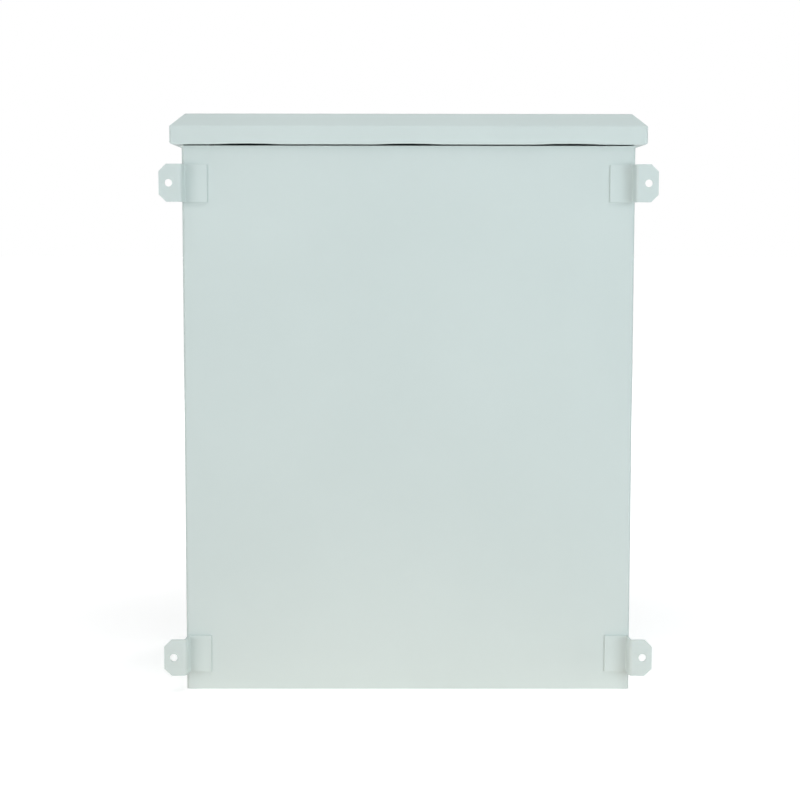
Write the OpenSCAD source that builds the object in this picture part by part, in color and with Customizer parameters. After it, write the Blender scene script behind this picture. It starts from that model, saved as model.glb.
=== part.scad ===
// Wall-mounted outdoor utility cabinet: a folded steel body with a rain roof and four wall lugs,
// a hinged door with two quarter-turn locks, and the plates, studs and seals that it holds.
// The door faces -Y, the wall is on the +Y side and +Z is up.
// Left and right are as seen from the door. Sizes are in millimetres.
// The origin is under the middle of the whole cabinet, at the level of its bottom.

/* [Body] */
// Outer width of the body
body_w = 400; // [340:1:600]
// Height of the body, up to its top plate
body_h = 487.5; // [420:0.5:800]
// Depth of the body, from its back wall to its front rim
body_d = 190; // [160:1:300]
// Thickness of the steel sheet
sheet_t = 1.5; // [1:0.1:2]
// Inside radius of the bends in the sheet
bend_r = 1.5; // [0.8:0.1:2.5]
// Width of the rim that is folded in round the door opening
rim_w = 16; // [12:0.5:22]
// Height of the lip on the rim, which the seal closes on
lip_h = 12; // [8:0.5:14]

/* [Wall lugs] */
// Height of each lug
lug_h = 33; // [26:1:50]
// Thickness of the lugs
lug_t = 2; // [1.5:0.1:3]
// Inside radius of the bend at the foot of a lug
lug_foot_r = 1; // [0.8:0.1:2]
// Inside radius of the bend at its tab
lug_tab_r = 1.5; // [0.8:0.1:2.5]
// Distance from the back of the body to the wall
lug_off = 18; // [12:0.5:22]
// Reach of a lug past the side of the body
lug_reach = 18; // [16:0.5:30]
// Distance of the welded end of a lug from the side of the body
lug_foot = 22.5; // [18:0.5:40]
// Where the step of a lug leaves the back, in from the side of the body
lug_step_foot = 2; // [1.5:0.5:4]
// Where the step of a lug meets the tab, in from the side of the body
lug_step_tab = 1; // [0:0.5:1.5]
// Distance of the fixing hole from the outer end of the lug
lug_hole_in = 8.5; // [7:0.5:10]
// Diameter of the fixing hole
lug_hole_d = 6.6; // [4.5:0.1:8.5]
// Size of the cut corners of a lug
lug_cut = 6.5; // [3:0.5:9]
// Distance from the middle of a lug to the nearer end of the body
lug_inset = 33; // [30:0.5:80]

/* [Roof] */
// Overhang of the roof past the sides of the body
roof_side = 10.5; // [10:0.5:30]
// Overhang of the roof behind the back wall
roof_back = 3; // [2:0.5:8]
// Overhang of the roof in front of the door
roof_front = 25; // [15:1:60]
// Height of the roof's upright skirt
skirt_h = 15.5; // [10:0.5:30]
// Width of the roof's sloped border, seen from above
bevel_run = 13; // [8:0.5:25]
// Height of the roof's sloped border
bevel_h = 12; // [8:0.5:25]
// How far the roof's folded lips reach over the top plate
roof_seat = 20; // [18:0.5:40]
// Gap between the top plate and the roof, set by the spacers
roof_gap = 1.1; // [0.8:0.1:3]
// Height by which the back edge of the roof bows up between its fixed points
bow_h = 0.7; // [0.3:0.1:1.5]
// Length of each bowed stretch of that edge
bow_w = 60; // [40:1:90]
// Distance between the middles of the bowed stretches
bow_pitch = 142; // [100:1:150]
// Distance of the roof bolts from the middle of the body's depth
roof_bolt_y = 60; // [40:1:65]

/* [Door] */
// Gap between the rim and the back edge of the door
door_gap = 2; // [1.5:0.1:4]
// Depth of the door, from its back edge to its front face
door_d = 20; // [17:0.5:26]
// Distance of the door's edges from the edges of the body
door_edge = 2; // [1:0.5:4]
// Width of the seal
seal_w = 10; // [6:0.5:12]
// Clearance between the seal and the lip with the door closed
seal_gap = 0.3; // [0.2:0.1:0.5]

/* [Hinges] */
// Height of a hinge
leaf_h = 60; // [40:1:80]
// Thickness of the hinge leaves
leaf_t = 2; // [1.5:0.1:3]
// Length of the body leaf along the side of the body
leaf_l = 30; // [20:1:50]
// Distance from the front face of the door to the door leaf
leaf_in = 4; // [3:0.5:8]
// Radius of the hinge barrels
barrel_r = 4.5; // [4:0.1:4.8]
// Radius of the hinge pins
pin_r = 2.5; // [1.8:0.1:2.8]
// Thickness of the pin's head
pin_head_t = 1.5; // [1:0.1:3]
// Radial clearance of a running fit
running_gap = 0.05; // [0.02:0.01:0.1]
// Clearance between the two barrels of a hinge, and round a barrel
barrel_gap = 0.4; // [0.3:0.1:1]
// Distance from the middle of a hinge to the nearer end of the body
hinge_inset = 90; // [60:1:110]

/* [Locks] */
// Distance of each lock from the middle of the door's height
lock_z = 130; // [60:1:150]
// Distance of a lock from the inner face of the lip
lock_in = 24; // [22:0.5:40]
// Radius of the lock's collar on the front of the door
collar_r = 14; // [13:0.5:18]
// Thickness of the collar
collar_t = 3; // [2.6:0.1:5]
// Radius of the lock's threaded barrel
lock_r = 11; // [10:0.1:12]
// Width of the barrel across its two flats
lock_flats = 20; // [19:0.1:20]
// Clearance of the barrel in the door
lock_gap = 0.2; // [0.1:0.1:0.4]
// Width of the lock's nut across its flats
lock_nut_af = 27; // [26:0.5:30]
// Thickness of the lock's nut
lock_nut_t = 4; // [3:0.5:5]
// Radius of the turning core
core_r = 7; // [6.5:0.1:7.5]
// Radius of the core's head
core_head_r = 9; // [8.5:0.1:9.5]
// Thickness of the core's head
core_head_t = 2; // [1.5:0.1:2.2]
// Radius of the key hole in the core
key_r = 5; // [4:0.1:5.5]
// Depth of the key hole
key_depth = 9; // [6:0.5:10]
// Thickness of the bit that stands in the key hole
key_bit = 3; // [2:0.1:4]
// Free length of the core between its barrel and the cam
core_tail = 6; // [4:0.5:8]
// Width of the square that drives the cam
drive_w = 8; // [7:0.1:8.5]
// Clearance of the cam on its square, and of the screw in the core
drive_gap = 0.1; // [0.05:0.05:0.2]
// Thickness of the cam
cam_t = 3; // [2.5:0.1:4]
// Width of the cam
cam_w = 16; // [15:0.5:20]
// How far the locked cam reaches behind the rim
cam_over = 10; // [6:0.5:10]
// Clearance between the cam and the back of the rim
cam_gap = 1; // [0.6:0.1:1.5]
// Radius of the screw that holds the cam
cam_screw_r = 2.5; // [2:0.1:2.8]
// Length of the screw in the core
cam_screw_l = 9; // [6:0.5:10]
// Radius of the cam screw's head
cam_head_r = 6; // [5.8:0.1:7]
// Thickness of the cam screw's head
cam_head_t = 3; // [2:0.1:4]

/* [Mounting plate] */
// Distance of the plate from the ends and the sides of the body
plate_margin = 30; // [24:1:60]
// Distance of the plate from the back wall
plate_off = 18; // [12:1:30]
// Thickness of the plate
plate_t = 2; // [1.5:0.1:3]
// Depth of the stiffening folds along the sides of the plate
plate_fold = 10; // [6:0.5:15]
// Distance of the fixing studs from the edges of the plate
stud_in = 22; // [20:1:40]
// Radius of the collar that a plate stud holds the plate off with
stud_collar_r = 6.5; // [6:0.1:8]

/* [Cable entry] */
// Width of the opening in the bottom
entry_w = 240; // [160:1:250]
// Depth of the opening in the bottom
entry_d = 80; // [50:1:84]
// Width of the border of the gland plate round the opening
entry_border = 18; // [16:0.5:22]
// Thickness of the gland plate
gland_t = 2; // [1.5:0.1:3]
// Thickness of its seal
gland_seal_t = 2; // [1:0.1:4]

/* [Earth points] */
// Distance of the earth points from the hinge side of the opening
earth_in = 34; // [28:1:60]
// Distance of the earth point of the body from its front rim
earth_y = 26; // [20:1:32]
// Height of the earth point of the door over the bottom
earth_z = 60; // [50:1:70]

/* [Fasteners] */
// Diameter of the small studs and bolts
small_d = 6; // [5:0.1:6.5]
// Width of the small nuts and bolt heads across flats
small_af = 10; // [9.5:0.1:11]
// Thickness of the small nuts
small_nut_t = 5; // [3:0.1:6]
// Thickness of the small bolts' heads
small_head_t = 4; // [3:0.1:5]
// Radius of the small washers
small_washer_r = 6; // [5.8:0.1:7]
// Diameter of the large studs
large_d = 8; // [7:0.1:8.5]
// Width of the large nuts across flats
large_af = 13; // [12:0.1:14]
// Thickness of the large nuts
large_nut_t = 6.5; // [4:0.1:8]
// Radius of the large washers
large_washer_r = 8; // [7.5:0.1:9]
// Thickness of the washers
washer_t = 1.6; // [1:0.1:2.5]
// Radius of the soft spacers under the roof
spacer_r = 8; // [7:0.1:8.5]
// Length of a thread past its nut
thread_end = 3; // [1:0.5:6]
// Clearance of a thread in its nut
thread_gap = 0.05; // [0.02:0.01:0.1]
// Clearance of a bolt or a stud in a hole
hole_gap = 0.4; // [0.2:0.1:0.6]

/* [Hidden] */
$fn = 48;

// Colours
paint = [0.80, 0.86, 0.84];
zinc = [0.70, 0.71, 0.72];
galvanised = [0.66, 0.68, 0.70];
seal_black = [0.10, 0.10, 0.11];
die_cast = [0.55, 0.56, 0.58];
copper = [0.72, 0.45, 0.30];

// Length by which a cutting shape runs past what it cuts
past = 1;
// Number of steps in each bend of the sheet
bend_steps = 8;
// Number of sides of the large circles that cut the bows
bow_sides = 240;

// Faces from the wall to the front
total_d = lug_off + body_d + door_gap + door_d + roof_front;
wall_y = total_d / 2;
back_y = wall_y - lug_off;
back_in = back_y - sheet_t;
rim_y = back_y - body_d;
middle_y = back_y - body_d / 2;
door_back = rim_y - door_gap;
door_face = door_back - door_d;
door_in = door_face + sheet_t;

// Faces from the middle to the sides
half_w = body_w / 2;
side_in = half_w - sheet_t;
opening_half = half_w - rim_w;
door_half = half_w - door_edge;

// Roof
roof_half = half_w + roof_side;
roof_back_y = back_y + roof_back;
roof_front_y = door_face - roof_front;
roof_z = body_h + roof_gap;
eaves_z = roof_z + skirt_h;
roof_top = eaves_z + bevel_h;
slope = atan2(bevel_h, bevel_run);
roof_lip_x = half_w - roof_seat;
roof_lip_y = rim_y + roof_seat;
roof_bolt_x = (roof_lip_x + side_in) / 2;

// Hinges: the axis touches the side of the body with its barrel, at the back edge of the door
hinge_x = -half_w - barrel_r;
hinge_y = door_back;
hinge_zs = [body_h - hinge_inset, hinge_inset];

// Locks: the cam stands behind the rim and its barrel ends short of it
lock_x = opening_half - lock_in;
lock_zs = [body_h / 2 + lock_z, body_h / 2 - lock_z];
cam_front = rim_y + sheet_t + cam_gap;
cam_back = cam_front + cam_t;
lock_end = cam_front - core_tail;
cam_reach = lock_in + cam_over;

// Mounting plate
plate_half = half_w - plate_margin;
plate_back = back_in - plate_off;
plate_front = plate_back - plate_t;
plate_stud_x = plate_half - stud_in;
plate_stud_zs = [plate_margin + stud_in, body_h - plate_margin - stud_in];

// Cable entry
gland_seat = sheet_t + gland_seal_t;
gland_top = gland_seat + gland_t;
gland_stud_x = (entry_w + entry_border) / 2;
gland_stud_y = (entry_d + entry_border) / 2;

// Earth points
earth_x = -opening_half + earth_in;
earth_back = rim_y + earth_y;

// Direction of a vector
function unit(v) = v / norm(v);
// Signed angle from direction u to direction v
function turn(u, v) = atan2(u.x * v.y - u.y * v.x, u * v);

// A section in x and z, carried along y from one face to another
module along_y(from, to) {
    translate([0, to, 0])
        rotate([90, 0, 0])
            linear_extrude(to - from)
                children();
}

// A section in y and z, carried along x from one face to another
module along_x(from, to) {
    translate([from, 0, 0])
        rotate([90, 0, 90])
            linear_extrude(to - from)
                children();
}

// A round rod along y
module rod_y(x, z, from, to, r) {
    translate([x, from, z])
        rotate([-90, 0, 0])
            cylinder(h = to - from, r = r);
}

// Points along an arc
function arc(centre, r, from, angle) = [
    for (i = [0 : bend_steps])
        let (at = from + angle * i / bend_steps)
        centre + r * [cos(at), sin(at)]
];
// The same points in the other order
function reversed(points) = [for (i = [len(points) - 1 : -1 : 0]) points[i]];

// One face of a folded sheet whose middle line runs through the points, on its left (1) or right (-1)
function sheet_face(points, t, radii, side) =
    let (
        last = len(points) - 1,
        ways = [for (i = [0 : last - 1]) unit(points[i + 1] - points[i])],
        lefts = [for (way = ways) [-way.y, way.x]]
    )
    [
        points[0] + lefts[0] * side * t / 2,
        for (i = [1 : 1 : last - 1])
            let (
                mid_r = radii[i - 1] + t / 2,
                angle = turn(ways[i - 1], ways[i]),
                inward = sign(angle) * lefts[i - 1],
                centre = points[i] - ways[i - 1] * mid_r * tan(abs(angle) / 2) + inward * mid_r
            )
            each arc(centre, mid_r - side * sign(angle) * t / 2, atan2(-inward.y, -inward.x), angle),
        points[last] + lefts[last - 1] * side * t / 2
    ];

// Section of a folded sheet, with a round bend at each corner of its middle line.
// Its inside radius r is one number for all bends, or a list with one for each.
module strip(points, t, r) {
    radii = is_list(r) ? r : [for (i = [2 : len(points) - 1]) r];
    polygon(concat(sheet_face(points, t, radii, 1), reversed(sheet_face(points, t, radii, -1))));
}

// Rounding of corner p between points a and b
function round_corner(a, p, b, r) =
    let (
        u = unit(a - p),
        v = unit(b - p),
        half = acos(u * v) / 2,
        centre = p + unit(u + v) * r / sin(half),
        first = p + u * r / tan(half) - centre,
        second = p + v * r / tan(half) - centre
    )
    r == 0 ? [p] : arc(centre, r, atan2(first.y, first.x), turn(first, second));

// Outline whose corners are rounded, each with its own radius
module rounded(points, radii) {
    n = len(points);
    polygon([
        for (i = [0 : n - 1])
            each round_corner(points[(i + n - 1) % n], points[i], points[(i + 1) % n], radii[i])
    ]);
}

// Hexagon nut with its hole, standing on the ground plane
module hex_nut(af, t, hole_d) {
    difference() {
        cylinder(h = t, d = af / cos(30), $fn = 6);
        translate([0, 0, -past])
            cylinder(h = t + 2 * past, d = hole_d);
    }
}

// Flat washer with its hole, lying on the ground plane
module washer(r, t, hole_d) {
    difference() {
        cylinder(h = t, r = r);
        translate([0, 0, -past])
            cylinder(h = t + 2 * past, d = hole_d);
    }
}

// Back and sides of the body: one sheet folded round, with the rim and lip along the door opening
module body_wrap() {
    side = half_w - sheet_t / 2;
    back = back_y - sheet_t / 2;
    rim = rim_y + sheet_t / 2;
    lip = opening_half + sheet_t / 2;
    walls = [[-side, rim_y], [-side, back], [side, back], [side, rim_y]];
    walls_and_rims = [
        [-lip, rim_y - lip_h], [-lip, rim], [-side, rim], [-side, back],
        [side, back], [side, rim], [lip, rim], [lip, rim_y - lip_h]
    ];
    color(paint) {
        for (z = [0, body_h - rim_w])
            translate([0, 0, z])
                linear_extrude(rim_w)
                    strip(walls, sheet_t, bend_r);
        translate([0, 0, rim_w])
            linear_extrude(body_h - 2 * rim_w)
                strip(walls_and_rims, sheet_t, bend_r);
    }
}

// End of the body, drawn at the top: a plate between the walls, folded to the rim and its lip
module end_plate() {
    plate = body_h - sheet_t / 2;
    rim = rim_y + sheet_t / 2;
    lip = body_h - rim_w + sheet_t / 2;
    lip_half = opening_half + sheet_t;
    plan = [
        [-side_in, rim_y - lip_h - past], [side_in, rim_y - lip_h - past],
        [side_in, back_in], [-side_in, back_in]
    ];
    intersection() {
        union() {
            along_x(-lip_half, lip_half)
                strip([[back_in, plate], [rim, plate], [rim, lip], [rim_y - lip_h, lip]], sheet_t, bend_r);
            for (ends = [[-side_in, -lip_half], [lip_half, side_in]])
                along_x(ends[0], ends[1])
                    strip([[back_in, plate], [rim, plate], [rim, body_h - rim_w]], sheet_t, bend_r);
        }
        linear_extrude(body_h + past)
            rounded(plan, [0, 0, bend_r, bend_r]);
    }
}

// The places of the four roof bolts
module at_roof_bolts(z) {
    for (x = [-roof_bolt_x, roof_bolt_x])
        for (y = [middle_y - roof_bolt_y, middle_y + roof_bolt_y])
            translate([x, y, z])
                children();
}

// Top of the body, with the holes of the roof bolts
module top_plate() {
    color(paint)
        difference() {
            end_plate();
            at_roof_bolts(body_h - sheet_t - past)
                cylinder(h = sheet_t + 2 * past, d = small_d + 2 * hole_gap);
        }
}

// Bottom of the body, with the cable entry
module bottom_plate() {
    color(paint)
        difference() {
            translate([0, 0, body_h])
                mirror([0, 0, 1])
                    end_plate();
            translate([-entry_w / 2, middle_y - entry_d / 2, -past])
                cube([entry_w, entry_d, sheet_t + 2 * past]);
        }
}

// Wall lug of the right side, welded flat on the back, stepped out to the wall, with cut corners
module wall_lug(z) {
    end_x = half_w + lug_reach;
    foot_y = back_y + lug_t / 2;
    tab_y = wall_y - lug_t / 2;
    line = [
        [half_w - lug_foot, foot_y], [half_w - lug_step_foot, foot_y],
        [half_w - lug_step_tab, tab_y], [end_x, tab_y]
    ];
    color(paint)
        difference() {
            translate([0, 0, z - lug_h / 2])
                linear_extrude(lug_h)
                    strip(line, lug_t, [lug_foot_r, lug_tab_r]);
            for (way = [-1, 1])
                along_y(back_y - past, wall_y + past)
                    polygon([
                        [end_x - lug_cut, z + way * (lug_h / 2 + past)],
                        [end_x - lug_cut, z + way * lug_h / 2],
                        [end_x, z + way * (lug_h / 2 - lug_cut)],
                        [end_x + past, z + way * (lug_h / 2 - lug_cut)],
                        [end_x + past, z + way * (lug_h / 2 + past)]
                    ]);
            rod_y(end_x - lug_hole_in, z, back_y - past, wall_y + past, lug_hole_d / 2);
        }
}

// The same lug on the left side
module wall_lug_left(z) {
    mirror([1, 0, 0])
        wall_lug(z);
}

// Section of the roof from one edge to the other, drawn in by a given depth
function roof_section(low, high, depth) =
    let (at_eaves = depth * tan((90 - slope) / 2), at_top = depth * tan(slope / 2))
    [
        [low + depth, roof_z + depth], [high - depth, roof_z + depth],
        [high - depth, eaves_z - at_eaves], [high - bevel_run - at_top, roof_top - depth],
        [low + bevel_run + at_top, roof_top - depth], [low + depth, eaves_z - at_eaves]
    ];

// Closed form of the roof, drawn in by a given depth: its two sections meet in mitred corners
module roof_form(depth) {
    r = bend_r + sheet_t - depth;
    plan = [
        [-roof_half + depth, roof_front_y + depth], [roof_half - depth, roof_front_y + depth],
        [roof_half - depth, roof_back_y - depth], [-roof_half + depth, roof_back_y - depth]
    ];
    intersection() {
        along_y(roof_front_y, roof_back_y)
            rounded(roof_section(-roof_half, roof_half, depth), [r, r, r, r, r, r]);
        along_x(-roof_half, roof_half)
            rounded(roof_section(roof_front_y, roof_back_y, depth), [r, 0, r, r, r, r]);
        linear_extrude(roof_top + past)
            rounded(plan, [r, r, r, r]);
    }
}

// Rain roof: a hollow folded hat with lips under its sides and front and a free edge at the back
module roof() {
    bow_r = (bow_w * bow_w / 4 + bow_h * bow_h) / (2 * bow_h);
    color(paint)
        difference() {
            roof_form(0);
            roof_form(sheet_t);
            translate([-roof_lip_x, roof_lip_y, roof_z - past])
                cube([2 * roof_lip_x, roof_back_y - sheet_t - roof_lip_y, sheet_t + 2 * past]);
            for (x = [-bow_pitch, 0, bow_pitch])
                rod_y(
                    x, roof_z + bow_h - bow_r, roof_back_y - 2 * sheet_t, roof_back_y + past,
                    bow_r, $fn = bow_sides
                );
            at_roof_bolts(roof_z - past)
                cylinder(h = sheet_t + 2 * past, d = small_d + 2 * hole_gap);
        }
}

// Soft washers that hold the roof off the top plate and seal its bolt holes
module roof_spacers() {
    color(seal_black)
        at_roof_bolts(body_h)
            washer(spacer_r, roof_gap, small_d + 2 * hole_gap);
}

// Washers under the heads of the roof bolts
module roof_bolt_washers() {
    color(zinc)
        at_roof_bolts(body_h - sheet_t - washer_t)
            washer(small_washer_r, washer_t, small_d + 2 * hole_gap);
}

// Nuts welded on the lips of the roof
module roof_weld_nuts() {
    color(zinc)
        at_roof_bolts(roof_z + sheet_t)
            hex_nut(small_af, small_nut_t, small_d + 2 * thread_gap);
}

// Bolts that pass up through the top plate into the roof
module roof_bolts() {
    under_head = body_h - sheet_t - washer_t;
    thread_top = roof_z + sheet_t + small_nut_t + thread_end;
    color(zinc)
        at_roof_bolts(0) {
            translate([0, 0, under_head - small_head_t])
                cylinder(h = small_head_t, d = small_af / cos(30), $fn = 6);
            translate([0, 0, under_head])
                cylinder(h = thread_top - under_head, d = small_d);
        }
}

// The places of the four plate studs, with y pointing away from the back wall
module at_plate_studs(y) {
    for (x = [-plate_stud_x, plate_stud_x])
        for (z = plate_stud_zs)
            translate([x, y, z])
                rotate([90, 0, 0])
                    children();
}

// Mounting plate for the equipment, with stiffening folds along its sides
module mounting_plate() {
    side = plate_half - plate_t / 2;
    mid = plate_back - plate_t / 2;
    color(galvanised)
        difference() {
            translate([0, 0, plate_margin])
                linear_extrude(body_h - 2 * plate_margin)
                    strip(
                        [
                            [-side, plate_front - plate_fold], [-side, mid],
                            [side, mid], [side, plate_front - plate_fold]
                        ],
                        plate_t, bend_r
                    );
            at_plate_studs(plate_back + past)
                cylinder(h = plate_t + 2 * past, d = large_d + 2 * hole_gap);
        }
}

// Studs welded to the back wall, with a collar that the mounting plate rests on
module plate_studs() {
    color(zinc)
        at_plate_studs(back_in) {
            cylinder(h = plate_off, r = stud_collar_r);
            cylinder(h = plate_off + plate_t + washer_t + large_nut_t + thread_end, d = large_d);
        }
}

// Washers on the plate studs
module plate_washers() {
    color(zinc)
        at_plate_studs(plate_front)
            washer(large_washer_r, washer_t, large_d + 2 * hole_gap);
}

// Nuts on the plate studs
module plate_nuts() {
    color(zinc)
        at_plate_studs(plate_front - washer_t)
            hex_nut(large_af, large_nut_t, large_d + 2 * thread_gap);
}

// The places of the gland plate's studs: three along each long side
module at_gland_studs(z) {
    for (x = [-gland_stud_x, 0, gland_stud_x])
        for (y = [middle_y - gland_stud_y, middle_y + gland_stud_y])
            translate([x, y, z])
                children();
}

// Blank with the outline of the gland plate and the holes of its studs
module gland_blank(z, t) {
    difference() {
        translate([-entry_w / 2 - entry_border, middle_y - entry_d / 2 - entry_border, z])
            cube([entry_w + 2 * entry_border, entry_d + 2 * entry_border, t]);
        at_gland_studs(z - past)
            cylinder(h = t + 2 * past, d = small_d + 2 * hole_gap);
    }
}

// Removable plate over the cable entry
module gland_plate() {
    color(galvanised)
        gland_blank(gland_seat, gland_t);
}

// Seal between the gland plate and the bottom
module gland_gasket() {
    color(seal_black)
        difference() {
            gland_blank(sheet_t, gland_seal_t);
            translate([-entry_w / 2, middle_y - entry_d / 2, sheet_t - past])
                cube([entry_w, entry_d, gland_seal_t + 2 * past]);
        }
}

// Studs welded to the bottom round the cable entry
module gland_studs() {
    color(zinc)
        at_gland_studs(sheet_t)
            cylinder(h = gland_top - sheet_t + washer_t + small_nut_t + thread_end, d = small_d);
}

// Washers on the gland plate
module gland_washers() {
    color(zinc)
        at_gland_studs(gland_top)
            washer(small_washer_r, washer_t, small_d + 2 * hole_gap);
}

// Nuts on the gland plate
module gland_nuts() {
    color(zinc)
        at_gland_studs(gland_top + washer_t)
            hex_nut(small_af, small_nut_t, small_d + 2 * thread_gap);
}

// The place of the body's earth point, on the bottom plate
module at_body_earth(h) {
    translate([earth_x, earth_back, sheet_t + h])
        children();
}

// The place of the door's earth point, on the inside of the door
module at_door_earth(h) {
    translate([earth_x, door_in + h, earth_z])
        rotate([-90, 0, 0])
            children();
}

// Stud of an earth point, with the washer and the nut that go on it
module earth_stud() {
    color(copper)
        cylinder(h = washer_t + large_nut_t + thread_end, d = large_d);
}

module earth_washer() {
    color(copper)
        washer(large_washer_r, washer_t, large_d + 2 * hole_gap);
}

module earth_nut() {
    color(copper)
        hex_nut(large_af, large_nut_t, large_d + 2 * thread_gap);
}

// Hinge leaf on the side of the body, with the lower barrel of the hinge
module body_leaf(z) {
    barrel_h = (leaf_h - barrel_gap) / 2;
    leaf_front = hinge_y + barrel_r + barrel_gap;
    color(paint)
        difference() {
            union() {
                translate([-half_w - leaf_t, leaf_front, z - leaf_h / 2])
                    cube([leaf_t, leaf_l, leaf_h]);
                translate([-half_w - leaf_t, hinge_y, z - leaf_h / 2])
                    cube([leaf_t, leaf_front - hinge_y, barrel_h]);
                translate([hinge_x, hinge_y, z - leaf_h / 2])
                    cylinder(h = barrel_h, r = barrel_r);
            }
            translate([hinge_x, hinge_y, z - leaf_h / 2 - past])
                cylinder(h = leaf_h + 2 * past, r = pin_r + running_gap);
        }
}

// Hinge leaf on the side of the door, with the upper barrel of the hinge
module door_leaf(z) {
    barrel_h = (leaf_h - barrel_gap) / 2;
    low = z + barrel_gap / 2;
    color(paint)
        difference() {
            union() {
                translate([-door_half - leaf_t, door_face + leaf_in, low])
                    cube([leaf_t, door_d - leaf_in, barrel_h]);
                translate([hinge_x, hinge_y - leaf_t, low])
                    cube([-door_half - hinge_x, leaf_t, barrel_h]);
                translate([hinge_x, hinge_y, low])
                    cylinder(h = barrel_h, r = barrel_r);
            }
            translate([hinge_x, hinge_y, low - past])
                cylinder(h = leaf_h + 2 * past, r = pin_r + running_gap);
        }
}

// Hinge pin, which stands in the lower barrel and carries the upper one
module hinge_pin(z) {
    color(zinc)
        translate([hinge_x, hinge_y, z - leaf_h / 2 - pin_head_t]) {
            cylinder(h = pin_head_t, r = barrel_r - barrel_gap);
            cylinder(h = pin_head_t + leaf_h, r = pin_r);
        }
}

// Closed form of the door, drawn in by a given depth, with rounded edges round its front face
module door_form(depth) {
    r = bend_r + sheet_t - depth;
    back = door_back + past * sign(depth);
    wide = [
        [-door_half + depth, door_face + depth], [door_half - depth, door_face + depth],
        [door_half - depth, back], [-door_half + depth, back]
    ];
    tall = [
        [door_face + depth, door_edge + depth], [back, door_edge + depth],
        [back, body_h - door_edge - depth], [door_face + depth, body_h - door_edge - depth]
    ];
    intersection() {
        linear_extrude(body_h)
            rounded(wide, [r, r, 0, 0]);
        along_x(-half_w, half_w)
            rounded(tall, [r, 0, 0, r]);
    }
}

// Outline of a lock's barrel, with its two flats
module lock_outline(gap) {
    intersection() {
        circle(lock_r + gap);
        square([lock_flats + 2 * gap, 2 * (lock_r + gap)], center = true);
    }
}

// Door: a folded pan with the holes of its locks
module door() {
    color(paint)
        difference() {
            door_form(0);
            door_form(sheet_t);
            for (z = lock_zs)
                translate([lock_x, 0, z])
                    along_y(door_face - past, door_in + past)
                        lock_outline(lock_gap);
        }
}

// Seal on the inside of the door, over the lip of the rim
module door_gasket() {
    lip_mid = rim_w - sheet_t / 2;
    outer = lip_mid - seal_w / 2;
    inner = lip_mid + seal_w / 2;
    seal_back = rim_y - lip_h - seal_gap;
    color(seal_black)
        difference() {
            translate([-half_w + outer, door_in, outer])
                cube([body_w - 2 * outer, seal_back - door_in, body_h - 2 * outer]);
            translate([-half_w + inner, door_in - past, inner])
                cube([body_w - 2 * inner, seal_back - door_in + 2 * past, body_h - 2 * inner]);
        }
}

// Housing of a lock: a collar on the door's face and a threaded barrel through it
module lock_housing(z) {
    collar_face = door_face - collar_t;
    color(die_cast)
        difference() {
            union() {
                rod_y(lock_x, z, collar_face, door_face, collar_r);
                translate([lock_x, 0, z])
                    along_y(door_face - past, lock_end)
                        lock_outline(0);
            }
            rod_y(lock_x, z, collar_face - past, lock_end + past, core_r + running_gap);
            rod_y(lock_x, z, collar_face - past, collar_face + core_head_t, core_head_r + running_gap);
        }
}

// Nut that holds a lock in the door
module lock_nut(z) {
    color(zinc)
        translate([lock_x, door_in, z])
            rotate([-90, 30, 0])
                hex_nut(lock_nut_af, lock_nut_t, 2 * (lock_r + thread_gap));
}

// Turning core of a lock: a head with the key hole, a round shank and a square for the cam
module lock_core(z) {
    collar_face = door_face - collar_t;
    color(die_cast)
        difference() {
            union() {
                rod_y(lock_x, z, collar_face, collar_face + core_head_t - barrel_gap, core_head_r);
                rod_y(lock_x, z, collar_face, cam_front, core_r);
                translate([lock_x - drive_w / 2, cam_front - past, z - drive_w / 2])
                    cube([drive_w, cam_t + past - drive_gap, drive_w]);
            }
            difference() {
                rod_y(lock_x, z, collar_face - past, collar_face + key_depth, key_r);
                translate([lock_x - key_bit / 2, collar_face + key_bit / 2, z - core_r])
                    cube([key_bit, key_depth, 2 * core_r]);
            }
            rod_y(lock_x, z, cam_back - cam_screw_l - past, cam_back + past, cam_screw_r + drive_gap);
        }
}

// Cam of a lock, drawn upright as it is when the lock is open
module lock_cam(z) {
    drive = drive_w + 2 * drive_gap;
    tip = cam_reach - cam_w / 2;
    color(zinc)
        translate([lock_x, 0, z])
            along_y(cam_front, cam_back)
                difference() {
                    union() {
                        circle(cam_w / 2);
                        translate([-cam_w / 2, 0])
                            square([cam_w, tip]);
                        translate([0, tip])
                            circle(cam_w / 2);
                    }
                    square(drive, center = true);
                }
}

// Screw that holds the cam on the core
module lock_screw(z) {
    color(zinc) {
        rod_y(lock_x, z, cam_back, cam_back + cam_head_t, cam_head_r);
        rod_y(lock_x, z, cam_back - cam_screw_l, cam_back + past, cam_screw_r);
    }
}

body_wrap();
top_plate();
bottom_plate();
wall_lug_left(body_h - lug_inset);  // wall_lug_top_left
wall_lug(body_h - lug_inset);  // wall_lug_top_right
wall_lug_left(lug_inset);  // wall_lug_bottom_left
wall_lug(lug_inset);  // wall_lug_bottom_right
roof();
roof_spacers();
roof_bolts();
roof_bolt_washers();
roof_weld_nuts();
mounting_plate();
plate_studs();
plate_washers();
plate_nuts();
gland_plate();
gland_gasket();
gland_studs();
gland_washers();
gland_nuts();
at_body_earth(0) earth_stud();  // body_earth_stud
at_body_earth(0) earth_washer();  // body_earth_washer
at_body_earth(washer_t) earth_nut();  // body_earth_nut
body_leaf(hinge_zs[0]);  // hinge_upper_body_leaf
hinge_pin(hinge_zs[0]);  // hinge_upper_pin
body_leaf(hinge_zs[1]);  // hinge_lower_body_leaf
hinge_pin(hinge_zs[1]);  // hinge_lower_pin
door();
door_gasket();
door_leaf(hinge_zs[0]);  // hinge_upper_door_leaf
door_leaf(hinge_zs[1]);  // hinge_lower_door_leaf
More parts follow.
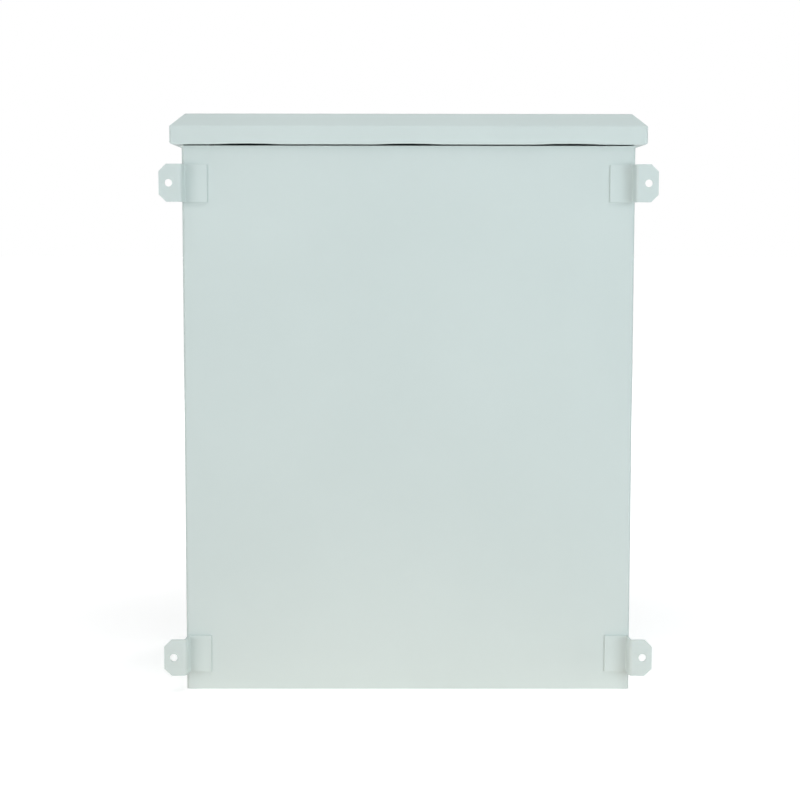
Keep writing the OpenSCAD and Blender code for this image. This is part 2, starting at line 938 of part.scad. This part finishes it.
at_door_earth(0) earth_stud();  // door_earth_stud
at_door_earth(0) earth_washer();  // door_earth_washer
at_door_earth(washer_t) earth_nut();  // door_earth_nut
lock_housing(lock_zs[0]);  // lock_upper_housing
lock_nut(lock_zs[0]);  // lock_upper_nut
lock_core(lock_zs[0]);  // lock_upper_core
lock_cam(lock_zs[0]);  // lock_upper_cam
lock_screw(lock_zs[0]);  // lock_upper_screw
lock_housing(lock_zs[1]);  // lock_lower_housing
lock_nut(lock_zs[1]);  // lock_lower_nut
lock_core(lock_zs[1]);  // lock_lower_core
lock_cam(lock_zs[1]);  // lock_lower_cam
lock_screw(lock_zs[1]);  // lock_lower_screw
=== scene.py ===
import itertools
import math

import bpy
from mathutils import Matrix, Vector


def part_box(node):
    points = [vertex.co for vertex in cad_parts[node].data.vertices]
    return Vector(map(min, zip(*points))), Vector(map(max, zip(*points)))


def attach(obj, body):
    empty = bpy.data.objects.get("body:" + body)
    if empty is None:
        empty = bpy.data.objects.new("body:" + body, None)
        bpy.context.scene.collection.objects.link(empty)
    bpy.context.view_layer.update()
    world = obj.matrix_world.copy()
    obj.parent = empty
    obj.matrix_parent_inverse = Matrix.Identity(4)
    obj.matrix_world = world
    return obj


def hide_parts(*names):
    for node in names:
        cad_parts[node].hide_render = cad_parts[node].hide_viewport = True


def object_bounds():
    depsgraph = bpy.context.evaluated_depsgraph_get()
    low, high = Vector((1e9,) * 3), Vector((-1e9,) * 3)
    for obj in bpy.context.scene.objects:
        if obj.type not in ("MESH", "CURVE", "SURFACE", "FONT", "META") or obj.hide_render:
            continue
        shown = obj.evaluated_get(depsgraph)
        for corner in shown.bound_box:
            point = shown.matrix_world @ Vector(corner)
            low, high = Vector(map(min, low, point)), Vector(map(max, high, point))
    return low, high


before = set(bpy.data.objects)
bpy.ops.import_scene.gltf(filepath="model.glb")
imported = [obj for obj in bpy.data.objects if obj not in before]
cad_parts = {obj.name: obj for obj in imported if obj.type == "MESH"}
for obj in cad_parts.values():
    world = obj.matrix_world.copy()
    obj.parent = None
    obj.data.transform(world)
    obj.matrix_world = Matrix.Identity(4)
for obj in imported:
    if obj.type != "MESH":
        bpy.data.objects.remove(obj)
cad_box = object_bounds()

# Body: one sheet of 1.5 mm steel folded round the back and sides, with a top and a bottom plate welded in.
# It is coated all over in pale grey powder paint, which rounds the cut edges a little.
MM = 0.001
COAT_EDGE = 0.3 * MM
COAT_STEPS = 2
MERGE = 0.001 * MM
FLAT = math.radians(0.5)
SHARP = math.radians(40)
finishes = {}


def only(*objects):
    """Select these objects alone, with the first one active."""
    bpy.ops.object.select_all(action="DESELECT")
    for obj in objects:
        obj.select_set(True)
    bpy.context.view_layer.objects.active = objects[0]


def apply_modifier(obj, kind, **settings):
    """Add a modifier with these settings and apply it."""
    only(obj)
    modifier = obj.modifiers.new(kind.lower(), kind)
    for name, value in settings.items():
        setattr(modifier, name, value)
    bpy.ops.object.modifier_apply(modifier=modifier.name)


def soften(obj, edge, steps=COAT_STEPS):
    """Round the sharp edges of a piece and shade its bends smooth, keeping its flat faces flat."""
    apply_modifier(obj, "BEVEL", width=edge, segments=steps, limit_method="ANGLE", angle_limit=SHARP,
                   miter_outer="MITER_ARC", use_clamp_overlap=True)
    bpy.ops.object.shade_smooth_by_angle(angle=SHARP)
    apply_modifier(obj, "WEIGHTED_NORMAL", keep_sharp=True)


def dressed(node, name, body, slot, edge):
    """A merged copy of a node with softened edges, which takes the node's place."""
    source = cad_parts[node]
    piece = bpy.data.objects.new(name, source.data.copy())
    bpy.context.collection.objects.link(piece)
    only(piece)
    bpy.ops.mesh.customdata_custom_splitnormals_clear()
    bpy.ops.object.mode_set(mode="EDIT")
    bpy.ops.mesh.select_all(action="SELECT")
    bpy.ops.mesh.remove_doubles(threshold=MERGE)
    bpy.ops.mesh.dissolve_limited(angle_limit=FLAT)
    bpy.ops.object.mode_set(mode="OBJECT")
    soften(piece, edge)
    claim(piece, body, slot, node)
    return piece


def claim(piece, body, slot, *nodes):
    """Hang a piece on the empty of the body it rides on, hide the nodes it stands in for, and give it its
    slot's material.
    """
    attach(piece, body)
    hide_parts(*nodes)
    piece.data.materials.clear()
    piece.data.materials.append(finishes[slot])


def shader_group(name, inputs, outputs):
    """An empty shader node group, with its inputs and their values, and its outputs."""
    group = bpy.data.node_groups.new(name, "ShaderNodeTree")
    for label, value in inputs.items():
        socket = group.interface.new_socket(label, in_out="INPUT", socket_type="NodeSocketFloat")
        socket.default_value = value
    for label in outputs:
        group.interface.new_socket(label, in_out="OUTPUT", socket_type="NodeSocketFloat")
    return group, group.nodes.new("NodeGroupInput").outputs, group.nodes.new("NodeGroupOutput").inputs


def feed(tree, socket, value):
    """Give a socket its value, or link it to the socket that feeds it."""
    if isinstance(value, bpy.types.NodeSocket):
        tree.links.new(value, socket)
    else:
        socket.default_value = value


def add(tree, kind, settings=None, **inputs):
    """Add a shader node. Each input is named with _ for its spaces."""
    made = tree.nodes.new("ShaderNode" + kind)
    for name, value in (settings or {}).items():
        setattr(made, name, value)
    for name, value in inputs.items():
        feed(tree, made.inputs[name.replace("_", " ")], value)
    return made.outputs


def work_out(tree, kind, operation, *values):
    """Add a maths node for numbers or for vectors."""
    made = tree.nodes.new("ShaderNode" + kind)
    made.operation = operation
    for socket, value in zip(made.inputs, values):
        feed(tree, socket, value)
    return made.outputs


def ramp(tree, factor, *stops):
    """A colour ramp through stops of a position and a colour."""
    made = tree.nodes.new("ShaderNodeValToRGB")
    elements = made.color_ramp.elements
    for i, (position, colour) in enumerate(stops):
        element = elements[i] if i < 2 else elements.new(position)
        element.position = position
        element.color = (*colour, 1)
    feed(tree, made.inputs["Fac"], factor)
    return made.outputs["Color"]


def remap(tree, value, low, high):
    """A value from 0 to 1 brought between low and high."""
    return add(tree, "MapRange", Value=value, To_Min=low, To_Max=high)["Result"]


def new_finish(slot, **principled):
    """A material for one of the part's slots, with its shader and the constants that are set on it."""
    material = bpy.data.materials.new(slot + "_finish")
    material.use_nodes = True
    tree = material.node_tree
    shader = tree.nodes["Principled BSDF"]
    for name, value in principled.items():
        shader.inputs[name.replace("_", " ")].default_value = value
    finishes[slot] = material
    return tree, shader.inputs


def bump(tree, height, normal, distance, strength):
    """Relief on a surface, from a height between 0 and 1."""
    feed(tree, normal, add(tree, "Bump", Height=height, Distance=distance, Strength=strength)["Normal"])


# Orange peel: soft cells about a millimetre across, over slow changes in the thickness of the coat.
# Powder paint that melts and runs together in the oven leaves both.
PEEL_CELL = 900
COAT_PATCH = 7
peel, peel_in, peel_out = shader_group("orange_peel", {"Cell": PEEL_CELL, "Patch": COAT_PATCH},
                                       ["Tone", "Gloss", "Height"])
place = add(peel, "TexCoord")["Object"]
cells = add(peel, "TexNoise", Vector=place, Scale=peel_in["Cell"], Detail=1.5, Roughness=0.45)["Fac"]
patches = add(peel, "TexNoise", Vector=place, Scale=peel_in["Patch"], Detail=3.0, Roughness=0.5)["Fac"]
feed(peel, peel_out["Tone"], patches)
feed(peel, peel_out["Height"], cells)
feed(peel, peel_out["Gloss"], work_out(peel, "Math", "MULTIPLY", cells, patches)["Value"])

PAINT_THIN = (0.590, 0.668, 0.652)
PAINT_THICK = (0.606, 0.684, 0.668)
coat, coat_in = new_finish("paint", Specular_IOR_Level=0.3)
coat_peel = add(coat, "Group", {"node_tree": peel})
feed(coat, coat_in["Base Color"], ramp(coat, coat_peel["Tone"], (0.35, PAINT_THIN), (0.65, PAINT_THICK)))
feed(coat, coat_in["Roughness"], remap(coat, coat_peel["Gloss"], low=0.46, high=0.60))
bump(coat, coat_peel["Height"], coat_in["Normal"], distance=0.02 * MM, strength=0.35)

for node in ("body_wrap", "top_plate", "bottom_plate"):
    dressed(node, node + "_coated", "cabinet", "paint", COAT_EDGE)

# Wall lugs: four straps of 2 mm steel, stepped out to the wall, with cut corners and a hole for a bolt.
# Each is welded flat to the back of the body and coated with it.
LUG_EDGE = 0.4 * MM
for level in ("top", "bottom"):
    for side in ("left", "right"):
        lug = f"wall_lug_{level}_{side}"
        dressed(lug, lug + "_coated", "cabinet", "paint", LUG_EDGE)

# Fixed hinge leaves: strips of steel with half of the hinge barrel, welded to the left side of the body.
# They are coated with it, and their edges are broken by hand before that.
LEAF_EDGE = 0.5 * MM
for hinge in ("hinge_upper", "hinge_lower"):
    dressed(f"{hinge}_body_leaf", f"{hinge}_body_leaf_coated", "cabinet", "paint", LEAF_EDGE)

# Rain roof: a hat of folded sheet with an upright skirt and a sloped border, mitred at its welded corners.
# Lips under its sides and front lie over the top plate, and its back edge is free.
# It is coated as the body is.
ROOF_EDGE = 0.4 * MM
dressed("roof", "roof_coated", "cabinet", "paint", ROOF_EDGE)

# Roof spacers: washers stamped from soft black foam rubber, which hold the roof off the top plate.
# They keep rain out of the four bolt holes, so they are matt, with fine open pores.
RUBBER_EDGE = 0.25 * MM
RUBBER_BLACK = (0.013, 0.013, 0.014)
RUBBER_GREY = (0.026, 0.026, 0.027)
PORE = 2600
GREYING = 120
rubber, rubber_in = new_finish("seal", Specular_IOR_Level=0.25)
place = add(rubber, "TexCoord")["Object"]
pores = add(rubber, "TexVoronoi", Vector=place, Scale=PORE)["Distance"]
cloud = add(rubber, "TexNoise", Vector=place, Scale=GREYING, Detail=4.0)["Fac"]
feed(rubber, rubber_in["Base Color"], ramp(rubber, cloud, (0.3, RUBBER_BLACK), (0.7, RUBBER_GREY)))
feed(rubber, rubber_in["Roughness"], remap(rubber, pores, low=0.78, high=0.95))
bump(rubber, pores, rubber_in["Normal"], distance=0.1 * MM, strength=0.5)
dressed("roof_spacers", "roof_spacers_foam", "cabinet", "seal", RUBBER_EDGE)

# Roof bolts, their washers and the nuts welded on the lips: M6 steel, bright zinc plated.
# The bolt heads and nuts are cold formed hexagons with turned-off corners, and the threads are rolled.
WASHER_EDGE = 0.25 * MM
NUT_EDGE = 0.2 * MM
ROUND = 36
PLATE_CLOUD = 160
PLATE_GRAIN = 2200
plated, plated_in, plated_out = shader_group("plated_metal", {"Cloud": PLATE_CLOUD, "Grain": PLATE_GRAIN},
                                             ["Tone", "Gloss", "Height"])
place = add(plated, "TexCoord")["Object"]
cloud = add(plated, "TexNoise", Vector=place, Scale=plated_in["Cloud"], Detail=4.0, Roughness=0.6)["Fac"]
grain = add(plated, "TexNoise", Vector=place, Scale=plated_in["Grain"], Detail=2.0)["Fac"]
feed(plated, plated_out["Tone"], cloud)
feed(plated, plated_out["Height"], grain)
blend = work_out(plated, "Math", "MULTIPLY", cloud, grain)["Value"]
gloss = add(plated, "MapRange", Value=blend, From_Min=0.1, From_Max=0.45)["Result"]
feed(plated, plated_out["Gloss"], gloss)


def plated_finish(slot, dull, bright, smooth, rough, relief):
    """A plated metal that clouds between two colours and two roughnesses, with a fine grain."""
    tree, sockets = new_finish(slot, Metallic=1.0)
    skin = add(tree, "Group", {"node_tree": plated})
    feed(tree, sockets["Base Color"], ramp(tree, skin["Tone"], (0.35, dull), (0.65, bright)))
    feed(tree, sockets["Roughness"], remap(tree, skin["Gloss"], smooth, rough))
    bump(tree, skin["Height"], sockets["Normal"], distance=relief, strength=0.3)


plated_finish("zinc", dull=(0.36, 0.38, 0.41), bright=(0.50, 0.51, 0.53), smooth=0.24, rough=0.42,
              relief=0.01 * MM)


def start_piece(name):
    """Name the primitive that was just added, with its place and turn moved into its mesh."""
    piece = bpy.context.object
    piece.name = piece.data.name = name
    bpy.ops.object.transform_apply(location=True, rotation=True, scale=True)
    return piece


def cut(piece, tool, operation):
    """Cut a piece with a tool that is then thrown away."""
    apply_modifier(piece, "BOOLEAN", object=tool, operation=operation, solver="EXACT")
    bpy.data.objects.remove(tool)


def hexagon(across, height, name):
    """A hexagon along z, standing on the origin, whose corners are turned off at both ends."""
    corner = across / 2 / math.cos(math.pi / 6)
    middle = (0, 0, height / 2)
    bpy.ops.mesh.primitive_cylinder_add(vertices=6, radius=corner, depth=height, location=middle,
                                        rotation=(0, 0, math.pi / 6))
    piece = start_piece(name)
    bpy.ops.mesh.primitive_cylinder_add(vertices=ROUND, radius=corner, depth=height, location=middle)
    turned = start_piece("turned_form")
    apply_modifier(turned, "BEVEL", width=corner - across / 2, segments=1, limit_method="ANGLE",
                   angle_limit=SHARP)
    cut(piece, turned, "INTERSECT")
    return piece


def hex_nut(across, height, bore, name):
    """A hexagon nut with a straight hole through it."""
    piece = hexagon(across, height, name)
    bpy.ops.mesh.primitive_cylinder_add(vertices=ROUND, radius=bore / 2, depth=3 * height)
    cut(piece, start_piece("drill"), "DIFFERENCE")
    soften(piece, NUT_EDGE)
    return piece


def edit_edges(piece, wanted):
    """Go into edit mode with only those edges selected that the test picks out."""
    only(piece)
    bpy.ops.object.mode_set(mode="EDIT")
    bpy.ops.mesh.select_mode(type="EDGE")
    bpy.ops.mesh.select_all(action="DESELECT")
    bpy.ops.object.mode_set(mode="OBJECT")
    for edge in piece.data.edges:
        edge.select = wanted(edge)
    bpy.ops.object.mode_set(mode="EDIT")


THREAD_SIDES = 24
THREAD_STEPS = 4
THREAD_DEPTH = 0.55


def threaded_rod(diameter, length, pitch, name):
    """A rod along z from the origin, with a rolled thread and a chamfer at its end."""
    depth = THREAD_DEPTH * pitch
    radius = diameter / 2
    bpy.ops.mesh.primitive_cylinder_add(vertices=THREAD_SIDES, radius=radius, depth=length,
                                        location=(0, 0, length / 2))
    piece = start_piece(name)

    def upright(edge):
        low, high = (piece.data.vertices[i].co.z for i in edge.vertices)
        return abs(high - low) > length / 2

    edit_edges(piece, upright)
    bpy.ops.mesh.subdivide(number_cuts=round(length / pitch * THREAD_STEPS))
    bpy.ops.object.mode_set(mode="OBJECT")
    for vertex in piece.data.vertices:
        turn = math.atan2(vertex.co.y, vertex.co.x) / (2 * math.pi)
        ridge = abs((vertex.co.z / pitch - turn) % 1 * 2 - 1)
        reach = min(radius - depth * (1 - ridge), radius - pitch + length - vertex.co.z)
        vertex.co.xy = vertex.co.xy.normalized() * reach
    only(piece)
    bpy.ops.object.shade_smooth_by_angle(angle=SHARP)
    return piece


def joined(name, *pieces):
    """Several pieces made one object."""
    only(*pieces)
    if len(pieces) > 1:
        bpy.ops.object.join()
    pieces[0].name = pieces[0].data.name = name
    return pieces[0]


def spread(model, node, counts, turn, name, body, slot):
    """Copies of a model in the places of a node's like pieces, with so many of them along x, y and z."""
    model.data.transform(turn)
    corners = [vertex.co for vertex in model.data.vertices]
    least = Vector([min(corner[i] for corner in corners) for i in range(3)])
    most = Vector([max(corner[i] for corner in corners) for i in range(3)])
    low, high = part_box(node)
    first, last = low - least, high - most
    copies = []
    for steps in itertools.product(*map(range, counts)):
        shares = [step / max(count - 1, 1) for step, count in zip(steps, counts)]
        place = Vector([a + (b - a) * share for a, b, share in zip(first, last, shares)])
        copy = bpy.data.objects.new(name, model.data.copy())
        copy.data.transform(Matrix.Translation(place))
        bpy.context.collection.objects.link(copy)
        copies.append(copy)
    bpy.data.objects.remove(model)
    claim(joined(name, *copies), body, slot, node)


UP = Matrix.Identity(4)
OUT_OF_WALL = Matrix.Rotation(math.pi / 2, 4, "X")
INTO_BODY = Matrix.Rotation(-math.pi / 2, 4, "X")
SMALL_NUT = (10 * MM, 5 * MM, 6.1 * MM)
SMALL_ROD, SMALL_PITCH = 6 * MM, 1 * MM
SMALL_HEAD = 4 * MM

low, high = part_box("roof_bolts")
head = hexagon(SMALL_NUT[0], SMALL_HEAD, "bolt_head")
soften(head, NUT_EDGE)
shank = threaded_rod(SMALL_ROD, high.z - low.z - SMALL_HEAD, SMALL_PITCH, "bolt_shank")
shank.data.transform(Matrix.Translation((0, 0, SMALL_HEAD)))
spread(joined("roof_bolt", head, shank), "roof_bolts", (2, 2, 1), UP, "roof_bolts_m6", "cabinet", "zinc")
spread(hex_nut(*SMALL_NUT, "weld_nut"), "roof_weld_nuts", (2, 2, 1), UP, "roof_weld_nuts_m6", "cabinet",
       "zinc")
dressed("roof_bolt_washers", "roof_bolt_washers_zinc", "cabinet", "zinc", WASHER_EDGE)

# Mounting plate: 2 mm hot-dip galvanised steel, folded along its sides, which carries the equipment.
# Its spangle is the flat crystals of the zinc, a few millimetres across, each with its own shine.
SPANGLE = 110
SPANGLE_DARK = (0.34, 0.36, 0.38)
SPANGLE_PALE = (0.54, 0.56, 0.58)
WAVER = 90
WAVER_REACH = 12 * MM
PLATE_EDGE = 0.2 * MM
spangled, spangled_in = new_finish("galvanised", Metallic=0.92)
place = add(spangled, "TexCoord")["Object"]
waver = add(spangled, "TexNoise", Vector=place, Scale=WAVER, Detail=3.0)["Color"]
wavy = add(spangled, "VectorMath", {"operation": "SCALE"}, Vector=waver, Scale=WAVER_REACH)["Vector"]
moved = work_out(spangled, "VectorMath", "ADD", place, wavy)["Vector"]
crystals = add(spangled, "TexVoronoi", Vector=moved, Scale=SPANGLE)["Color"]
crystal = add(spangled, "SeparateColor", Color=crystals)["Red"]
feed(spangled, spangled_in["Base Color"], ramp(spangled, crystal, (0.0, SPANGLE_DARK), (1.0, SPANGLE_PALE)))
feed(spangled, spangled_in["Roughness"], remap(spangled, crystal, low=0.30, high=0.52))
bump(spangled, crystal, spangled_in["Normal"], distance=0.01 * MM, strength=0.25)
dressed("mounting_plate", "mounting_plate_galvanised", "cabinet", "galvanised", PLATE_EDGE)

# Plate studs, washers and nuts: M8 studs with a collar, welded to the back wall, bright zinc plated.
# The plate rests on the collars and the nuts hold it there.
LARGE_NUT = (13 * MM, 6.5 * MM, 8.1 * MM)
LARGE_ROD, LARGE_PITCH = 8 * MM, 1.25 * MM
COLLAR_RADIUS, COLLAR_LENGTH = 6.5 * MM, 18 * MM
COLLAR_EDGE = 0.5 * MM

low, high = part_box("plate_studs")
bpy.ops.mesh.primitive_cylinder_add(vertices=ROUND, radius=COLLAR_RADIUS, depth=COLLAR_LENGTH,
                                    location=(0, 0, COLLAR_LENGTH / 2))
collar = start_piece("stud_collar")
soften(collar, COLLAR_EDGE)
rod = threaded_rod(LARGE_ROD, high.y - low.y - COLLAR_LENGTH, LARGE_PITCH, "stud_thread")
rod.data.transform(Matrix.Translation((0, 0, COLLAR_LENGTH)))
spread(joined("plate_stud", collar, rod), "plate_studs", (2, 1, 2), OUT_OF_WALL, "plate_studs_m8", "cabinet",
       "zinc")
spread(hex_nut(*LARGE_NUT, "plate_nut"), "plate_nuts", (2, 1, 2), OUT_OF_WALL, "plate_nuts_m8", "cabinet",
       "zinc")
dressed("plate_washers", "plate_washers_zinc", "cabinet", "zinc", WASHER_EDGE)

# Cable entry: a removable galvanised plate on a foam seal over the opening in the bottom.
# Six M6 studs are welded round the opening, with a washer and a nut on each.
low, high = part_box("gland_studs")
spread(threaded_rod(SMALL_ROD, high.z - low.z, SMALL_PITCH, "gland_stud"), "gland_studs", (3, 2, 1), UP,
       "gland_studs_m6", "cabinet", "zinc")
spread(hex_nut(*SMALL_NUT, "gland_nut"), "gland_nuts", (3, 2, 1), UP, "gland_nuts_m6", "cabinet", "zinc")
dressed("gland_washers", "gland_washers_zinc", "cabinet", "zinc", WASHER_EDGE)
dressed("gland_plate", "gland_plate_galvanised", "cabinet", "galvanised", PLATE_EDGE)
dressed("gland_gasket", "gland_gasket_foam", "cabinet", "seal", RUBBER_EDGE)

# Earth points: an M8 stud with a washer and a nut, on the bottom of the body and on the inside of the door.
# All are steel plated with copper, which dulls to brown in patches.
plated_finish("copper", dull=(0.46, 0.22, 0.12), bright=(0.74, 0.43, 0.27), smooth=0.28, rough=0.5,
              relief=0.01 * MM)
for body, owner, turn in (("cabinet", "body", UP), ("door", "door", INTO_BODY)):
    stud, nut, washer = (f"{owner}_earth_{piece}" for piece in ("stud", "nut", "washer"))
    low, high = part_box(stud)
    length = max(high.z - low.z, high.y - low.y)
    spread(threaded_rod(LARGE_ROD, length, LARGE_PITCH, "earth_rod"), stud, (1, 1, 1), turn,
           stud + "_copper", body, "copper")
    spread(hex_nut(*LARGE_NUT, "earth_hexagon"), nut, (1, 1, 1), turn, nut + "_copper", body, "copper")
    dressed(washer, washer + "_copper", body, "copper", WASHER_EDGE)

# Door: a pan of 1.5 mm steel, folded back on four sides and welded at its corners, coated inside and out.
# The moving hinge leaves are welded to its left side, and two punched holes with flats hold the locks.
DOOR_EDGE = 0.4 * MM
dressed("door", "door_coated", "door", "paint", DOOR_EDGE)
for hinge in ("hinge_upper", "hinge_lower"):
    dressed(f"{hinge}_door_leaf", f"{hinge}_door_leaf_coated", "door", "paint", LEAF_EDGE)

# Door seal: a bead of black foam, poured in place round the inside of the door and risen to a domed top.
# It lies over the lip of the body and turns the corners in an arc, as the pouring nozzle does.
BEAD_WIDTH = 10 * MM
CORNER = 12 * MM
CORNER_STEPS = 8
DOME = 0.46 * BEAD_WIDTH
DOME_STEPS = 6
low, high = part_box("door_gasket")
width, depth, height = high - low
bpy.ops.mesh.primitive_plane_add(size=1, rotation=(math.pi / 2, 0, 0))
seal = bpy.context.object
seal.scale = (width, height, 1)
seal.location = ((low.x + high.x) / 2, low.y, (low.z + high.z) / 2)
seal = start_piece("door_seal_foam")
bpy.ops.object.mode_set(mode="EDIT")
bpy.ops.mesh.select_all(action="SELECT")
bpy.ops.mesh.bevel(offset=CORNER, segments=CORNER_STEPS, affect="VERTICES")
bpy.ops.mesh.select_all(action="SELECT")
bpy.ops.mesh.inset(thickness=BEAD_WIDTH)
bpy.ops.mesh.delete(type="FACE")
bpy.ops.mesh.select_all(action="SELECT")
bpy.ops.mesh.extrude_region_move(TRANSFORM_OT_translate={"value": (0, depth, 0)})
bpy.ops.mesh.select_all(action="SELECT")
bpy.ops.mesh.normals_make_consistent(inside=False)
bpy.ops.object.mode_set(mode="OBJECT")
sides = {}
for face in seal.data.polygons:
    for key in face.edge_keys:
        sides.setdefault(key, []).append(face.normal.copy())


def top_rim(edge):
    """Whether an edge of the seal lies on its top and is sharp."""
    one, other = sides[edge.key]
    on_top = all(high.y - seal.data.vertices[i].co.y < MERGE for i in edge.vertices)
    return on_top and one.angle(other) > SHARP


edit_edges(seal, top_rim)
bpy.ops.mesh.bevel(offset=DOME, segments=DOME_STEPS)
bpy.ops.object.mode_set(mode="OBJECT")
bpy.ops.object.shade_smooth_by_angle(angle=SHARP)
claim(seal, "door", "seal", "door_gasket")

# Hinge pins: turned steel, bright zinc plated, pushed up through the barrels from below.
# The head stops the pin from passing through, and its edges are chamfered.
PIN_EDGE = 0.5 * MM
for pin in ("hinge_upper_pin", "hinge_lower_pin"):
    dressed(pin, pin + "_zinc", "cabinet", "zinc", PIN_EDGE)

# Locks: a die-cast housing through the door with a hexagon nut behind it, and a core that a key turns.
# The cam on the core's square is stamped steel, held by a cross-head screw, and swings in behind the rim.
CAST_EDGE = 0.5 * MM
STAMPED_EDGE = 0.3 * MM
BLADE_SPAN, BLADE_WIDTH, BLADE_DEPTH = 5 * MM, 1.1 * MM, 1.6 * MM
plated_finish("die_cast", dull=(0.36, 0.37, 0.39), bright=(0.47, 0.48, 0.50), smooth=0.22, rough=0.36,
              relief=0.015 * MM)
for lock in ("upper", "lower"):
    dressed(f"lock_{lock}_housing", f"lock_{lock}_housing_cast", "door", "die_cast", CAST_EDGE)
    dressed(f"lock_{lock}_nut", f"lock_{lock}_nut_zinc", "door", "zinc", CAST_EDGE)
    dressed(f"lock_{lock}_core", f"lock_{lock}_core_cast", f"{lock}_lock", "die_cast", STAMPED_EDGE)
    dressed(f"lock_{lock}_cam", f"lock_{lock}_cam_stamped", f"{lock}_lock", "zinc", STAMPED_EDGE)
    screw = dressed(f"lock_{lock}_screw", f"lock_{lock}_screw_zinc", f"{lock}_lock", "zinc", STAMPED_EDGE)
    low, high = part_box(f"lock_{lock}_screw")
    for turn in (0, math.pi / 2):
        bpy.ops.mesh.primitive_cube_add(size=1, rotation=(0, turn, 0),
                                        location=((low.x + high.x) / 2, high.y, (low.z + high.z) / 2))
        bpy.context.object.scale = (BLADE_SPAN, 2 * BLADE_DEPTH, BLADE_WIDTH)
        cut(screw, start_piece("driver_blade"), "DIFFERENCE")

# Studio: a white floor and white surroundings, which the camera and the shiny metals see as plain white.
# Two soft boxes stand beside the camera, two out at the sides and one overhead, and two more light the door.
# The floor behind the cabinet also throws a little warm light up the foot of its back.
FLOOR_SIZE = 60
FLOOR_COLOUR = (0.88, 0.88, 0.88, 1)
FLOOR_GLOW = 0.5
GLOW_REACH = (0.4, 1.6)
BOUNCE_COLOUR = (1.0, 0.58, 0.34, 1)
FLOOR_BOUNCE = 0.29
BOUNCE_CENTRE = (0, 0.2, 0)
BOUNCE_REACH = (0.2, 0.37)
AMBIENT = 0.03
WHITE = (1, 1, 1, 1)


def seen_rays(tree):
    """1 for the rays that look at the surroundings, from the camera or off a shiny or clear surface."""
    rays = add(tree, "LightPath")
    shiny = work_out(tree, "Math", "MAXIMUM", rays["Is Glossy Ray"], rays["Is Transmission Ray"])["Value"]
    return work_out(tree, "Math", "MAXIMUM", rays["Is Camera Ray"], shiny)["Value"]


def faded(tree, distance, reach, near, far):
    """A value that goes from near to far over a reach of distances."""
    return add(tree, "MapRange", Value=distance, From_Min=reach[0], From_Max=reach[1], To_Min=near,
               To_Max=far)["Result"]


def both(tree, first, second):
    """Two shaders laid over each other."""
    made = tree.nodes.new("ShaderNodeAddShader")
    for socket, shader in zip(made.inputs, (first, second)):
        feed(tree, socket, shader)
    return made.outputs["Shader"]


bpy.ops.mesh.primitive_plane_add(size=FLOOR_SIZE)
floor = bpy.context.object
floor.name = "studio_floor"
floor_look = bpy.data.materials.new("studio_floor")
floor_look.use_nodes = True
tree = floor_look.node_tree
tree.nodes.clear()
place = add(tree, "TexCoord")["Object"]
from_cabinet = work_out(tree, "VectorMath", "LENGTH", place)["Value"]
from_back = work_out(tree, "VectorMath", "DISTANCE", place, BOUNCE_CENTRE)["Value"]
white = faded(tree, from_cabinet, GLOW_REACH, near=FLOOR_GLOW, far=1.0)
warm = faded(tree, from_back, BOUNCE_REACH, near=FLOOR_BOUNCE, far=0.0)
seen = seen_rays(tree)
glow = add(tree, "Emission", Color=WHITE, Strength=remap(tree, seen, 0.0, white))["Emission"]
bounce = add(tree, "Emission", Color=BOUNCE_COLOUR, Strength=remap(tree, seen, warm, 0.0))["Emission"]
matt = add(tree, "BsdfDiffuse", Color=FLOOR_COLOUR)["BSDF"]
add(tree, "OutputMaterial", Surface=both(tree, matt, both(tree, glow, bounce)))
floor.data.materials.append(floor_look)

surroundings = bpy.data.worlds.new("studio")
bpy.context.scene.world = surroundings
surroundings.use_nodes = True
tree = surroundings.node_tree
tree.nodes.clear()
level = remap(tree, seen_rays(tree), AMBIENT, 1.0)
add(tree, "OutputWorld", Surface=add(tree, "Background", Color=WHITE, Strength=level)["Background"])


def soft_box(name, place, size, power, colour=(1, 1, 1)):
    """A square soft light at a place, turned to the middle of the cabinet."""
    lamp = bpy.data.lights.new(name, "AREA")
    lamp.shape = "SQUARE"
    lamp.size = size
    lamp.energy = power
    lamp.color = colour
    box = bpy.data.objects.new(name, lamp)
    box.location = place
    low, high = cad_box
    aim = (Vector(low) + Vector(high)) / 2
    box.rotation_euler = (aim - Vector(place)).to_track_quat("-Z", "Y").to_euler()
    bpy.context.collection.objects.link(box)


soft_box("soft_box_left", (1.25, 1.9, 0.45), 1.1, 15.3)
soft_box("soft_box_right", (-1.25, 1.9, 0.45), 1.1, 18.9, (0.86, 0.955, 1.0))
soft_box("soft_box_side_left", (2.2, 0.6, 0.5), 0.8, 5)
soft_box("soft_box_side_right", (-2.2, 0.6, 0.5), 0.8, 6)
soft_box("soft_box_top", (0, 0.8, 2.2), 1.4, 19.8)
soft_box("soft_box_door_left", (-1.6, -2.2, 1.3), 1.2, 25)
soft_box("soft_box_door_right", (1.5, -2.3, 1.0), 1.2, 18)

# Camera: level with the upper part of the back and straight behind it, looking a little down.
# Its lens and place were worked out from the corners, holes and edges of the cabinet.
FRAME_PX = 800
FOCAL_PX = 1746
SENSOR = 36
LOOK_DOWN = 5.407
LOOK_ASIDE = -0.19
TILT = 0.059
CAMERA_PLACE = (0.0127, 1.6596, 0.4096)
lens = bpy.data.cameras.new("camera")
lens.sensor_width = SENSOR
lens.lens = SENSOR * FOCAL_PX / FRAME_PX
camera = bpy.data.objects.new("camera", lens)
camera.location = CAMERA_PLACE
camera.rotation_euler = [math.radians(angle) for angle in (90 - LOOK_DOWN, -TILT, 180 + LOOK_ASIDE)]
bpy.context.collection.objects.link(camera)
bpy.context.scene.camera = camera
bpy.context.scene.view_settings.view_transform = "Standard"
